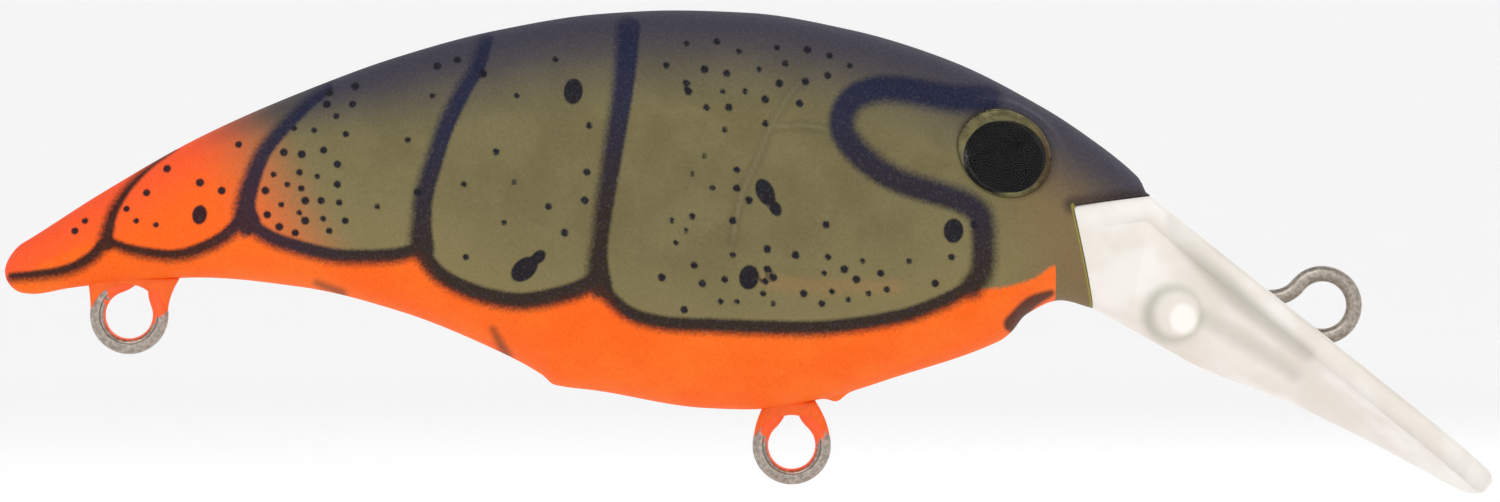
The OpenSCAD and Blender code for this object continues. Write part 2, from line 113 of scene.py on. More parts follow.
def smoothLine(points, steps=8):
    # Catmull-Rom: each span is the cubic whose end slopes are half the step between the neighbours
    p = np.array(points, float)
    p = np.vstack([2 * p[0] - p[1], p, 2 * p[-1] - p[-2]])
    t = np.linspace(0, 1, steps, endpoint=False)[:, None]
    spans = []
    for a, b, c, d in zip(p[:-3], p[1:-2], p[2:-1], p[3:]):
        cubic = (c - a) * t + (2 * a - 5 * b + 4 * c - d) * t ** 2 + (3 * b - a - 3 * c + d) * t ** 3
        spans.append(b + cubic / 2)
    return np.vstack(spans + [p[-2:-1]])


def lineGap(at, line, soft=(1, 1)):
    # least distance to the line less its half width there, over the softness of the left or right side
    best = np.full(len(at), 99.0)
    for a, b in zip(line[:-1], line[1:]):
        run, rel = b[:2] - a[:2], at - a[:2]
        t = np.clip((rel @ run) / max(run @ run, 1e-9), 0, 1)
        gap = np.hypot(*(rel - t[:, None] * run).T) - mix(a[2], b[2], t) / 2
        best = np.minimum(best, gap / np.where(run[0] * rel[:, 1] > run[1] * rel[:, 0], *soft))
    return best


# Knots of the moulded shells' own curves: share of the length, then share of the depth or width.
backLine = [(0, 4.6), (1.7, 7.3), (8.3, 19.3), (17, 33.5), (26, 44.9), (34.5, 53.8), (43, 60.3),
            (52, 64.4), (58.5, 65.3), (65, 64.7), (74, 60.4), (82.5, 52.9), (91, 40.6), (95.5, 32),
            (98, 26.4), (100, 21)]
bellyLine = [(0.5, -5), (2.5, -5.7), (5.5, -4.3), (8, -3.4), (17, -1.6), (26, -4), (34.5, -10),
             (43, -19.8), (47, -26), (48, -28.4), (52, -30), (61, -34.2), (65, -34.6), (71.5, -31.9),
             (78, -26.4), (87, -17.4), (88, -15.2), (89.2, -11), (92.3, -7.3), (95, -9.2), (100, -12.5)]
waistLine = [(0, 0), (17, 11), (35, 15), (58, 12), (80, 9), (100, 6)]
widthLine = [(0, 15), (2, 20), (9, 30), (17.5, 45), (31.5, 70), (45.5, 90), (60, 100), (73, 98), (84, 86),
             (91, 73), (96, 62), (100, 50)]
shoulderLine = [(0, 2), (50, 1.95), (75, 1.85), (88, 1.7), (100, 1.7)]


def skinShape(u):
    # heights of back, belly and waist, half width and upper power of the section at u; r, the height of a
    # quarter circle, rounds the tail tip
    share = 100 * u / bodyLength
    tip = skin["tipRadius"]
    r = np.where(u < tip, np.sqrt(np.clip(1 - (1 - u / tip) ** 2, 0, 1)), 1)
    heights = [baseV + r * curveAt(k, share) * bodyDepth / 100 for k in (backLine, bellyLine, waistLine)]
    return (*heights, r * curveAt(widthLine, share) * bodyWidth / 200, curveAt(shoulderLine, share))


def skinY(u, v):
    # superellipse: half width times (1 - q to the n) to the 1/n, q being the share of the way off the waist
    top, low, waist, half, n = skinShape(u)
    up = v >= waist
    n = np.where(up, n, skin["lowPower"])
    q = np.clip(np.where(up, (v - waist) / (top - waist), (waist - v) / (waist - low)), 0, 1)
    return half * (1 - q ** n) ** (1 / n)


def newPiece(name, node, verts, faces):
    # verts in millimetres of u, y, v: x is the tail's x plus u. They are held inside the box of the node that
    # the piece stands for, and the object stays at the origin
    co = np.array(verts, float) * mm
    co[:, 0] += tailX
    if node:
        co = np.clip(co, *np.array([list(c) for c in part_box(node)]))
    mesh = bpy.data.meshes.new(name)
    mesh.from_pydata(co.tolist(), [], list(faces))
    mesh.validate()
    mesh.update()
    mesh.polygons.foreach_set("use_smooth", np.full(len(mesh.polygons), True))
    made = bpy.data.objects.new(name, mesh)
    bpy.context.scene.collection.objects.link(made)
    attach(made, "lure")
    if node:
        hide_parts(node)
    return made


def gridFaces(rows, cols, closed, flip=False):
    # quads from cell i, j to its neighbours i + 1 and j + 1; closed joins the last column to the first
    i, j = np.meshgrid(np.arange(rows - 1), np.arange(cols if closed else cols - 1), indexing="ij")
    k = (j + 1) % cols
    quads = np.stack([i * cols + j, i * cols + k, (i + 1) * cols + k, (i + 1) * cols + j], -1)
    quads = quads.reshape(-1, 4)
    return quads[:, ::-1] if flip else quads


def storeFloat(made, name, values):
    # one number a vertex, read by the nodes under the same name
    layer = made.data.attributes.new(name, "FLOAT", "POINT")
    layer.data.foreach_set("value", np.asarray(values, np.float32))


def linear(hexText):
    # sRGB byte c over 255, then ((c + 0.055) / 1.055) to the 2.4, or c / 12.92 when dark
    c = np.array([int(hexText[i:i + 2], 16) for i in (1, 3, 5)]) / 255
    return (*np.where(c > 0.04045, ((c + 0.055) / 1.055) ** 2.4, c / 12.92).tolist(), 1)


def newMaterial(name):
    # an empty node tree and its material
    made = bpy.data.materials.new(name)
    made.use_nodes = True
    made.node_tree.nodes.clear()
    return made, made.node_tree


def add(tree, kind, inputs=None, **settings):
    # one node; inputs maps a socket to a plain value or to (node, output)
    made = tree.nodes.new("ShaderNode" + kind)
    for k, value in settings.items():
        setattr(made, k, value)
    for k, value in (inputs or {}).items():
        if isinstance(value, tuple) and isinstance(value[0], bpy.types.Node):
            tree.links.new(value[0].outputs[value[1]], made.inputs[k])
        else:
            made.inputs[k].default_value = value
    return made


def blendColour(tree, share, a, b):
    # a where share is 0 and b where it is 1
    return add(tree, "Mix", {0: share, 6: a, 7: b}, data_type="RGBA"), 2


def band(tree, value, low, high, a=0.0, b=1.0):
    # smooth step of value from a at low to b at high
    inputs = {0: value, 1: low, 2: high, 3: a, 4: b}
    return add(tree, "MapRange", inputs, interpolation_type="SMOOTHSTEP"), 0


def sums(tree, kind, a, b):
    # a and b joined by one step of arithmetic
    return add(tree, "Math", {0: a, 1: b}, operation=kind), 0


def held(tree, name):
    # the number stored on the mesh under the name
    return add(tree, "Attribute", attribute_name=name), "Fac"


def finishSurface(tree, settings):
    # settings go straight to the shader's sockets
    shader = add(tree, "BsdfPrincipled", settings)
    add(tree, "OutputMaterial", {"Surface": (shader, 0)})


def noise(tree, scale, detail=3.0, rough=0.5):
    # scale is in lumps a millimetre
    at = add(tree, "TexCoord")
    settings = {"Vector": (at, "Object"), "Scale": scale / mm, "Detail": detail, "Roughness": rough}
    return add(tree, "TexNoise", settings), 0


# Paint on the side of the body, in u and v.
# Airbrushed lines: places, then the width in millimetres at each end.
inkLines = {
    "tailStroke": ([(0.4, 1.4), (1.7, 1.5), (3.2, 1.75), (4.4, 2.35), (5.2, 3.2)], 0.42, 0.65),
    "firstRib": ([(8.6, 7.8), (7.4, 7.0), (6.3, 5.9), (5.5, 4.6), (5.2, 3.3)], 0.12, 0.65),
    "firstScallop": ([(5.2, 3.2), (6.7, 2.7), (8.8, 2.5), (10.6, 3.1), (11.6, 3.8), (12.1, 4.5)],
                      0.45, 0.75),
    "secondRib": ([(16.2, 10.8), (14.8, 9.6), (13.2, 7.8), (12.5, 6.2), (12.2, 4.9), (12.4, 4.1)],
                   0.5, 1.15),
    "secondScallop": ([(12.4, 4.0), (13.8, 3.2), (16.4, 2.5), (18.2, 2.4), (19.8, 2.5), (20.9, 2.8)],
                       0.75, 0.7),
    "firstPool": ([(5.2, 4.0), (5.2, 3.5), (5.2, 3.1)], 0.4, 0.85),
    "secondPool": ([(12.3, 6.0), (12.1, 4.9), (12.2, 4.0)], 0.6, 1.15),
    "thirdPool": ([(21.1, 5.0), (21.0, 3.8), (21.0, 2.8)], 0.8, 1.25),
    "fourthPool": ([(29.8, 3.0), (29.75, 1.8), (29.8, 1.0)], 0.8, 1.3),
    "thirdRib": ([(24.1, 13.2), (23.7, 11.8), (23.0, 10.6), (22.2, 8.9), (21.6, 7.1), (21.1, 5.3),
                  (21.0, 3.9), (20.9, 2.8)], 0.7, 1.0),
    "thirdScallop": ([(20.9, 2.7), (21.9, 1.5), (23.7, 0.6), (25.9, 0.2), (28.2, 0.6), (29.7, 1.2)],
                      0.8, 0.9),
    "fourthRib": ([(31.2, 13.8), (31.1, 12.0), (30.9, 10.2), (30.4, 7.0), (30.0, 4.4), (29.8, 2.5),
                   (29.8, 0.9)], 1.15, 0.7),
    "fourthScallop": ([(29.9, 0.8), (31.3, -0.4), (33.2, -0.9), (35.5, -1.0), (38.0, -1.1), (41.0, -1.1),
                       (44.5, -0.6), (46.6, 0.1), (48.2, 0.9)], 0.7, 0.75),
    "cheekHook": ([(49.1, 10.3), (47.3, 10.3), (44.9, 10.7), (43.4, 10.7), (42.2, 10.1), (41.8, 9.0),
                   (42.2, 8.0), (43.2, 7.0), (44.5, 6.2), (46.0, 5.7), (47.6, 5.2), (48.6, 4.5),
                   (48.8, 3.1), (48.7, 1.7), (48.2, 0.9)], 1.35, 1.1),
}
# Large drops: place, half length, half width, lean in degrees.
drops = [((9.9, 4.5), 0.5, 0.38, 80), ((28.5, 10.6), 0.66, 0.48, 85), ((38.0, 5.6), 0.72, 0.45, 115),
         ((38.5, 4.8), 0.42, 0.3, 120), ((37.2, 1.4), 0.62, 0.5, 80), ((47.3, 3.7), 0.62, 0.5, 85),
         ((26.1, 1.8), 0.78, 0.52, 40), ((26.8, 2.4), 0.45, 0.3, 40)]
# Pin dots, rib by rib.
dots = [(11.8, 8.0), (8.2, 6.8), (9.9, 6.1), (11.0, 5.7), (7.2, 5.6), (6.2, 4.8), (6.7, 4.2), (7.7, 4.0),
        (4.1, 4.2), (3.6, 3.7), (16.3, 10.6), (17.6, 10.9), (16.2, 10.0), (17.5, 10.0), (16.7, 9.4),
        (14.6, 8.8), (15.6, 8.7), (17.2, 8.5), (16.1, 7.7), (14.1, 7.6), (15.0, 7.5), (16.8, 7.0),
        (14.9, 6.6), (13.6, 6.5), (15.8, 6.4), (14.3, 6.0), (15.0, 5.8), (16.8, 6.0), (13.2, 5.7),
        (15.2, 5.2), (16.0, 5.2), (16.9, 5.1), (14.0, 5.0), (14.9, 4.6), (16.1, 4.3), (17.2, 4.2),
        (13.3, 4.5), (15.2, 4.2), (13.9, 3.9), (14.7, 3.6), (16.4, 3.7), (18.8, 4.9), (21.5, 10.4),
        (20.3, 8.2), (22.7, 12.2), (21.7, 11.9), (24.0, 11.5), (20.8, 5.6), (24.7, 7.6), (23.1, 6.0),
        (25.6, 6.1), (25.1, 4.1), (23.2, 2.4), (27.3, 4.9), (28.1, 3.6), (29.1, 5.2), (29.2, 6.6),
        (29.3, 8.9), (27.6, 12.2), (25.7, 10.4), (34.1, 13.0), (33.1, 11.9), (34.1, 11.0), (34.2, 10.6),
        (35.0, 11.7), (36.1, 11.5), (35.6, 13.1), (36.7, 12.6), (37.7, 11.7), (38.6, 12.8), (39.0, 12.0),
        (40.1, 12.7), (38.7, 11.0), (40.0, 11.1), (41.1, 11.4), (41.2, 12.4), (42.2, 11.9), (35.9, 10.6),
        (37.0, 10.6), (35.1, 9.8), (36.2, 9.8), (38.0, 10.2), (39.7, 10.0), (38.0, 9.0), (36.0, 8.7),
        (35.0, 7.4), (34.4, 6.5), (35.4, 5.8), (36.6, 6.7), (36.6, 5.8), (37.2, 5.2), (36.4, 4.2),
        (34.4, 4.4), (33.4, 4.2), (34.1, 3.7), (33.6, 3.1), (36.4, 2.5), (34.5, 2.0), (38.1, 2.8),
        (39.5, 2.5), (41.0, 4.0), (41.1, 2.4), (40.9, 1.6), (42.8, 2.2), (45.1, 2.2), (47.2, 2.4),
        (46.4, 1.1), (41.9, 1.8), (42.5, 1.3), (43.7, 1.6), (44.0, 0.8), (43.1, 0.6), (42.1, 0.3),
        (41.3, 0.7), (40.8, 0.1), (39.9, 0.6), (38.4, 1.4), (38.1, 1.8), (38.0, 1.2), (37.9, 0.6),
        (38.4, 0.1), (36.6, 0.2), (35.8, 0.2), (36.0, 1.3), (34.9, 1.1), (32.9, 1.4), (34.0, -0.2),
        (48.3, 4.0)]
# Lower edge of the olive, above which the flank is painted and below which the belly is orange.
bellyEdge = [(0, 1.0), (5.2, 3.2), (6.7, 2.7), (8.7, 2.5), (10.6, 2.9), (12.2, 4.0), (13.8, 3.1),
             (16.4, 2.4), (19.8, 2.4), (20.9, 2.7), (21.9, 1.4), (23.7, 0.5), (25.9, 0.1), (28.2, 0.5),
             (29.8, 1.0), (31.4, -0.6), (33.2, -1.0), (38, -1.2), (40.9, -1.2), (44.5, -0.7), (46.6, 0.0),
             (48.2, 0.8), (49.6, 0.9), (50.6, 1.1), (51.4, 1.4), (52.4, 2.0), (52.6, -3.0)]
gillLines = [[(39.7, 11.0, 0.3), (39.2, 10.4, 0.3), (38.2, 8.7, 0.3), (37.6, 7.2, 0.3), (37.0, 5.9, 0.3),
              (36.6, 4.5, 0.3), (36.4, 3.1, 0.3)],
             [(38.4, 8.8, 0.3), (39.8, 8.9, 0.3), (41.2, 8.7, 0.3)],
             [(42.0, 6.4, 0.25), (41.7, 4.4, 0.25), (42.0, 2.6, 0.25)]]


# Single painted marks: each a line of places with its width.
marks = {"mouthSide": [[(*shoulder, 0), (*chin, 0)]],
         # the head's edge over the lip, for painted shade under it
         "mouthTop": [[(*shoulder, 0), (*nose, 0)]],
         "tanBand": [smoothLine([(37.6, 1.4, 0.1), (39.5, 1.0, 0.3), (44.5, 0.9, 0.2)])],
         "chinMark": [smoothLine([(50.3, -0.9, 0.9), (51.2, 0.1, 0.7), (52.2, 0.6, 0.35)])],
         # the gill lines, for painted shade and a painted highlight along their grooves
         "gill": [smoothLine(line) for line in gillLines[:2]],
         "smudge": [[(15.7, 1.1, 0.1), (16.9, 0.6, 0.25)], [(24.5, -1.2, 0.1), (25.1, -2.5, 0.35)]]}


# Softness of a line's left and right side, a pin dot's radius and how much it varies, and what a place far
# from all paint holds.
spray = {"soft": (0.55, 1.35), "hookSoft": (1.6, 1.1), "dot": 0.19, "dotSpread": 0.03, "far": 9.0}


def paintOn(made, u, v):
    # millimetres from every vertex to the painted edges, for the lacquer's nodes: a line's is its gap, a
    # drop's is (elliptical radius - 1) times its half width, a dot's is the distance less its radius
    at = np.stack([u, v], 1)
    ink = np.full(len(at), spray["far"])
    for name, (places, start, end) in inkLines.items():
        widths = np.linspace(start, end, len(places))
        soft = spray["hookSoft" if name == "cheekHook" else "soft"]
        ink = np.minimum(ink, lineGap(at, smoothLine([(*p, w) for p, w in zip(places, widths)]), soft))
    spot = np.full(len(at), spray["far"])
    for (cu, cv), long, short, lean in drops:
        c, s = math.cos(math.radians(lean)), math.sin(math.radians(lean))
        du, dv = at[:, 0] - cu, at[:, 1] - cv
        spot = np.minimum(spot, (np.hypot((du * c + dv * s) / long, (dv * c - du * s) / short) - 1) * short)
    for i, (cu, cv) in enumerate(dots):
        radius = spray["dot"] + spray["dotSpread"] * math.sin(7 * i)
        spot = np.minimum(spot, np.hypot(at[:, 0] - cu, at[:, 1] - cv) - radius)
    top, low = skinShape(u)[:2]
    values = {"ink": ink, "spot": spot, "flank": v - curveAt(bellyEdge, u), "fromBack": top - v,
              "fromBelly": v - low, "along": u, "tailGlow": u + 0.55 * (v - 5)}
    for name, lines in marks.items():
        values[name] = np.min([lineGap(at, np.array(line)) for line in lines], axis=0)
    for name, value in values.items():
        storeFloat(made, name, value)


shell = {"rows": 330, "tipRows": 24, "turns": 135, "wall": 0.5, "noseTaper": 0.6, "gill": 0.1,
         "gillWidth": 0.24, "seamDip": 0.3, "seamAt": 41.6, "seamLong": 0.42, "seamWide": 0.45}
socket = {"reach": 4, "floor": -0.62, "dish": 0.02, "rim": 0.13, "rimAt": 2.82, "rimWidth": 0.26,
          "wall": (2.35, 2.62)}


def shellSide(name, node, side):
    # surface over u and the turn round the section: y is half width times cosine, v is waist plus height
    # times sine, both to the power 2/n. Places inside the mouth slide to its edge, and cells left there go
    tip = skin["tipRadius"]
    lead = tip * (1 - np.cos(np.linspace(0.03, math.pi / 2, shell["tipRows"])))
    us = np.concatenate([lead, np.linspace(tip, bodyLength, shell["rows"])[1:]])
    turns = np.linspace(math.pi / 2, -math.pi / 2, shell["turns"])
    u, a = np.meshgrid(us, turns, indexing="ij")
    top, low, waist, half, n = skinShape(u)
    n = np.where(a >= 0, n, skin["lowPower"])
    v = waist + np.sign(a) * np.where(a >= 0, top - waist, waist - low) * np.abs(np.sin(a)) ** (2 / n)
    edgeU = shoulder[0] + (shoulder[1] - v) * mouthLean
    slope = (nose[1] - shoulder[1]) / (nose[0] - shoulder[0])
    edgeV = shoulder[1] + slope * (u - shoulder[0])
    inside = (u > edgeU) & (v < edgeV)
    sideways = inside & (u - edgeU < edgeV - v)
    u = np.where(sideways, edgeU, u)
    v = np.where(inside & ~sideways, edgeV, v)
    y = half * np.clip(np.cos(a), 0, 1) ** (2 / n)
    y = np.where(inside, skinY(u, v), y)
    taper = ease(bodyLength - shell["noseTaper"], bodyLength, u) ** 2
    v = np.where(v > edgeV, mix(v, edgeV + 0.02, taper), v)
    y, u, v = carve(y, u, v)
    bell = ((u - shell["seamAt"]) / shell["seamLong"]) ** 2 + (y / shell["seamWide"]) ** 2
    v = v - shell["seamDip"] * np.exp(-bell) * (a < -0.8)  # the weld line's dip, under the belly only
    outer = np.stack([u, y, v], -1)
    faces = gridFaces(len(us), len(turns), False, flip=True)
    faces = faces[~inside.ravel()[faces].all(1)]
    verts, faces = tidyGrid(outer.reshape(-1, 3), faces)
    verts, faces = thickWall(verts, faces, shell["wall"])
    verts[:, 1] *= side
    made = newPiece(name, node, verts, (faces if side > 0 else faces[:, ::-1]).tolist())
    paintOn(made, verts[:, 0], verts[:, 2])
    return made


def thickWall(verts, faces, wall):
    # inner face: each place less wall times its normal, the sum of its cells' diagonal cross products; the
    # rim joins every edge that one cell alone has to its copy
    a, b, c, d = (verts[faces[:, i]] for i in range(4))
    cellNormals = np.cross(c - a, d - b)
    normals = np.zeros_like(verts)
    for i in range(4):
        np.add.at(normals, faces[:, i], cellNormals)
    normals /= np.maximum(np.linalg.norm(normals, axis=1), 1e-9)[:, None]
    inner = verts - wall * normals
    inner[:, 1] = np.where(verts[:, 1] < 1e-6, 0, np.maximum(inner[:, 1], 0))
    edges = np.concatenate([faces[:, [i, (i + 1) % 4]] for i in range(4)])
    key = np.sort(edges, 1) @ np.array([len(verts), 1])
    keys, counts = np.unique(key, return_counts=True)
    rim = edges[np.isin(key, keys[counts == 1])]
    n = len(verts)
    rim = np.stack([rim[:, 1], rim[:, 0], rim[:, 0] + n, rim[:, 1] + n], 1)
    return np.concatenate([verts, inner]), np.concatenate([faces, faces[:, ::-1] + n, rim])


def tidyGrid(verts, faces):
    # drops the places that no cell uses; a kept place's new number is its rank among them
    used = np.unique(faces)
    index = np.full(len(verts), -1)
    index[used] = np.arange(len(used))
    return verts[used], index[faces]


def eyeFrame():
    # outward normal of the skin at the eye, from differences over half a millimetre each way
    du = (skinY(eyeSpot[0] - 0.5, eyeSpot[1]) - skinY(eyeSpot[0] + 0.5, eyeSpot[1]))
    dv = (skinY(eyeSpot[0], eyeSpot[1] - 0.5) - skinY(eyeSpot[0], eyeSpot[1] + 0.5))
    normal = np.array([du, 1.0, dv])
    return np.array([eyeSpot[0], float(skinY(*eyeSpot)), eyeSpot[1]]), normal / np.linalg.norm(normal)


def carve(y, u, v):
    # inside the socket, heights over the eye's plane are cut to floor plus dish times the distance across; a
    # bell-shaped rim stands round it, and the gill lines go in by a bell curve of their gap
    centre, normal = eyeFrame()
    p = np.stack([u, y, v], -1)
    rel = p - centre
    height = rel @ normal
    across = np.linalg.norm(rel - height[..., None] * normal, axis=-1)
    near = (across < socket["reach"]) & (y > 0.5)
    floor = socket["floor"] + socket["dish"] * across
    rim = socket["rim"] * np.exp(-((across - socket["rimAt"]) / socket["rimWidth"]) ** 2)
    sunk = mix(height + rim, np.minimum(height, floor), 1 - ease(*socket["wall"], across))
    p = p + (np.where(near, sunk, height) - height)[..., None] * normal
    gill = np.full(y.size, spray["far"])
    at = np.stack([u.ravel(), v.ravel()], 1)
    for line in gillLines:
        gill = np.minimum(gill, lineGap(at, smoothLine(line)))
    p[..., 1] -= shell["gill"] * np.exp(-(gill.reshape(y.shape) / shell["gillWidth"]) ** 2) * (y > 1)
    return p[..., 1], p[..., 0], p[..., 2]


rightSkin = shellSide("painted_shell_right", "right_shell", -1)
leftSkin = shellSide("painted_shell_left", "left_shell", 1)
print("shells", len(rightSkin.data.vertices), "vertices a side")


lip = {"length": 22.3, "slope": 39.2, "width": 14.5, "plate": 1.2, "keel": 6.3, "edge": 0.3, "rows": 170,
       "endRows": 44, "fan": 0.31, "tip": 0.72, "gap": 0.05, "under": 44}
boss = {"at": (58.4, -0.45), "height": 0.22, "edge": (1.15, 1.55), "dish": 0.12, "hollow": (0.6, 0.95),
        "ring": 1.3}
planLine = [(0, 47), (20, 56), (45, 77), (65, 94), (82, 100)]
keelLine = [(0, 100), (31, 82), (54, 57), (77, 38), (92, 28), (100, 22)]
bladeDir = np.array([math.cos(math.radians(lip["slope"])), -math.sin(math.radians(lip["slope"]))])
bladeUp = np.array([-bladeDir[1], bladeDir[0]])


def onBlade(p, n):
    # the nose, plus p along the blade, plus n square to it
    return nose + np.multiply.outer(p, bladeDir) + np.multiply.outer(n, bladeUp)


def lipGrid():
    # sections along the blade: the head's own section at the shoulder eases into a flat plate over a keel,
    # whose half width is the plate's times the root of (1 - s to the 0.45), s being the share of the way down
    run = math.hypot(*(nose - shoulder)) - lip["gap"]
    fan, tip = lip["fan"] * lip["length"], lip["tip"] * lip["length"]
    lead = np.linspace(-run, tip, lip["rows"])
    turn = np.linspace(0, math.radians(88), lip["endRows"])[1:]
    p = np.concatenate([lead, tip + (lip["length"] - tip) * np.sin(turn) ** 0.8])
    keel = curveAt(keelLine, 100 * p / lip["length"]) * lip["keel"] / 100
    drop = 0.35 * (np.clip(p / lip["length"] - 0.96, 0, 1) / 0.04) ** 2  # the tip's rounded edge
    along = (-p / math.hypot(*(nose - shoulder)))[:, None]
    underHead = mix(nose, shoulder, along) - [0, lip["gap"]]
    top = np.where(p[:, None] < 0, underHead, onBlade(p, -lip["gap"] - drop))
    lean = math.radians(skin["mouthDegrees"])
    reach = (shoulder[1] - skinShape(shoulder[0] + 1)[1]) / math.cos(lean)
    throat = shoulder + [lip["gap"], 0] + reach * np.array([math.sin(lean), -math.cos(lean)])
    fanKeel = curveAt(keelLine, 100 * lip["fan"]) * lip["keel"] / 100
    fanned = mix(throat, onBlade(fan, -fanKeel), ((p + run) / (fan + run))[:, None])
    bottom = np.where(p[:, None] < fan, fanned, onBlade(p, drop - keel))
    down = bottom - top
    deep = np.linalg.norm(down, axis=1)
    down = down / deep[:, None]
    t = np.clip((p - tip) / (lip["length"] - tip), 0, 1)
    plate = curveAt(planLine, 100 * p / lip["length"]) * lip["width"] / 200 * (1 - t ** 2.5) ** 0.4
    m = ease(-run, fan, p)
    slim = skinShape(np.minimum(bodyLength, top[:, 0]))[3] / skinShape(shoulder[0])[3]
    thick = np.minimum(lip["plate"], 0.8 * deep)
    r = np.minimum(lip["edge"], 0.35 * thick)
    shape = [("flat", s) for s in np.linspace(0.02, 1, 12)]
    shape += [("bend", s) for s in np.linspace(0, math.pi / 2, 6)[1:]]
    shape += [("under", s) for s in (1 - np.cos(np.linspace(0, math.pi, lip["under"]))) / 2]
    rows = []
    for kind, s in shape:
        depth, half = np.zeros_like(p), plate
        if kind == "bend":
            depth = r * (1 - math.cos(s))
        if kind == "under":
            depth, half = mix(thick, deep, s), plate * math.sqrt(max(0, 1 - s ** 0.45))
        sunk = mix(shoulder, throat, (depth / deep)[:, None])
        y = mix(skinY(sunk[:, 0], sunk[:, 1]) * slim, half, m)
        if kind == "flat":
            y = (y - r) * s
        if kind == "bend":
            y = y - r * (1 - math.sin(s))
        at = top + depth[:, None] * down
        rows.append(np.stack([at[:, 0], np.maximum(y, 0.03), at[:, 1]], 1))
    half = np.stack(rows, 1)
    off = np.hypot(half[..., 0] - boss["at"][0], half[..., 2] - boss["at"][1])
    half[..., 1] += boss["height"] * (1 - ease(*boss["edge"], off)) * (half[..., 1] > 0.8)
    half[..., 1] -= boss["dish"] * (1 - ease(*boss["hollow"], off))
    return np.concatenate([half, half[:, ::-1] * [1, -1, 1]], 1)


lipRows = lipGrid()
rows, cols = lipRows.shape[:2]
ends = [[j, j + 1, cols - 2 - j, cols - 1 - j] for j in range(cols // 2 - 1)]
lipFaces = gridFaces(rows, cols, True).tolist() + [f[::-1] for f in ends]
lipFaces += [[(rows - 1) * cols + k for k in f] for f in ends]
lipFaces = [f[::-1] for f in lipFaces]
lipPiece = newPiece("lip_blade", "diving_lip", lipRows.reshape(-1, 3), lipFaces)
lipAt = lipRows.reshape(-1, 3)[:, [0, 2]]
lipLines = {"plateShade": [(58.0, 4.1, 0.2), (58.8, 3.1, 0.4), (60.3, 1.5, 0.6), (61.8, 0.0, 0.6),
                           (63.4, -1.3, 0.4), (64.8, -2.4, 0.2)],
            "keelShade": [(59.9, -0.6, 0.3), (61.2, -1.45, 0.3), (62.7, -2.35, 0.25), (64.2, -3.4, 0.15)]}
for name, line in lipLines.items():
    storeFloat(lipPiece, name, lineGap(lipAt, smoothLine(line)))
du, dv = (lipAt - boss["at"]).T
bossOff = np.hypot(du, dv)
# distance to the boss's ring for a painted shade ring, heavier on its tail side; then distance to the boss's
# middle for a painted highlight
storeFloat(lipPiece, "bossRing", np.abs(bossOff - boss["ring"]) + 0.16 * (1 + du / np.maximum(bossOff, 0.1)))
storeFloat(lipPiece, "bossEye", np.hypot((du - 0.4) / 0.85, dv + 0.2))
print("lip", rows, "by", cols)


wire = {"radius": 0.4, "eye": 1.57, "anchor": 1.05, "neck": 1.6, "aside": 2.15, "sides": 28}


def wirePath(straight):
    # arcs that touch end to end: open anchor loop, two bends of the neck, far side of the eye, then the same
    # mirrored. Circles touch when their centres are the sum of their radii apart: that gives along and back
    w = wire
    along = math.sqrt((w["eye"] + w["neck"]) ** 2 - w["aside"] ** 2)
    back = math.sqrt((w["anchor"] + w["neck"]) ** 2 - w["aside"] ** 2)
    inTurn, outTurn = math.atan2(w["aside"], along), math.atan2(w["aside"], back)
    arcs = [((along + straight + back, 0), w["anchor"], 0.15, math.pi - outTurn, 1, 26),
            ((along + straight, w["aside"]), w["neck"], 2 * math.pi - outTurn, 1.5 * math.pi, -1, 14),
            ((along, w["aside"]), w["neck"], 1.5 * math.pi, math.pi + inTurn, -1, 14),
            ((0, 0), w["eye"], inTurn, math.pi, 1, 44)]
    half = []
    for (cx, cy), r, a0, a1, way, count in arcs:
        a = np.linspace(a0, a1, count)[1 if half else 0:]
        half.append(np.stack([cx + r * np.cos(a), cy + r * np.sin(a), a + way * math.pi / 2], 1))
    half = np.vstack(half)
    return np.vstack([half, (half[-2::-1] * [1, -1, -1]) + [0, 0, math.pi]])


def capFaces(count, sides):
    # first and last section of a bar, each one face
    return [list(range(sides))[::-1], [(count - 1) * sides + i for i in range(sides)]]


def bentWire(name, node, eye, angle, straight):
    # round section carried along the path in the middle plane, turned by the angle at which the neck leaves
    path = wirePath(straight)
    k = np.arange(wire["sides"]) * 2 * math.pi / wire["sides"]
    r = wire["radius"] - 0.004
    aside = r * np.cos(k)
    x = path[:, :1] - aside * np.sin(path[:, 2:])
    z = path[:, 1:2] + aside * np.cos(path[:, 2:])
    y = np.broadcast_to(r * np.sin(k), x.shape)
    c, s = math.cos(math.radians(angle)), math.sin(math.radians(angle))
    verts = np.stack([eye[0] + c * x - s * z, -y, eye[1] + s * x + c * z], -1)
    count = len(path)
    faces = gridFaces(count, wire["sides"], True).tolist()
    faces += capFaces(count, wire["sides"])
    made = newPiece(name, node, verts.reshape(-1, 3), faces)
    storeFloat(made, "upNeck", np.repeat(path[:, 0], wire["sides"]))
    storeFloat(made, "inward", np.tile(np.cos(k), count))
    return made


tieEye = (-tailX / mm, 0.0)
mounts = {m["name"]: m["pos_m"] for m in frame["record"]["mounts"]}
bellyEye, tailEye = (((mounts[k][0] - tailX) / mm, mounts[k][2] / mm)
                     for k in ("belly_hook_eye", "tail_hook_eye"))
tieWire = bentWire("tie_wire", "line_tie", tieEye, 184, 3.5)
bellyWire = bentWire("belly_wire", "belly_hanger", bellyEye, 90, 0)
tailWire = bentWire("tail_wire", "tail_hanger", tailEye, 65, 0)
print("wires", len(tieWire.data.vertices))

web = {"inner": 1.5, "shoulder": 1.93, "thick": 0.4, "foot": 0.3, "sunk": 0.25, "steps": 64, "points": 20,
       "power": 0.7}


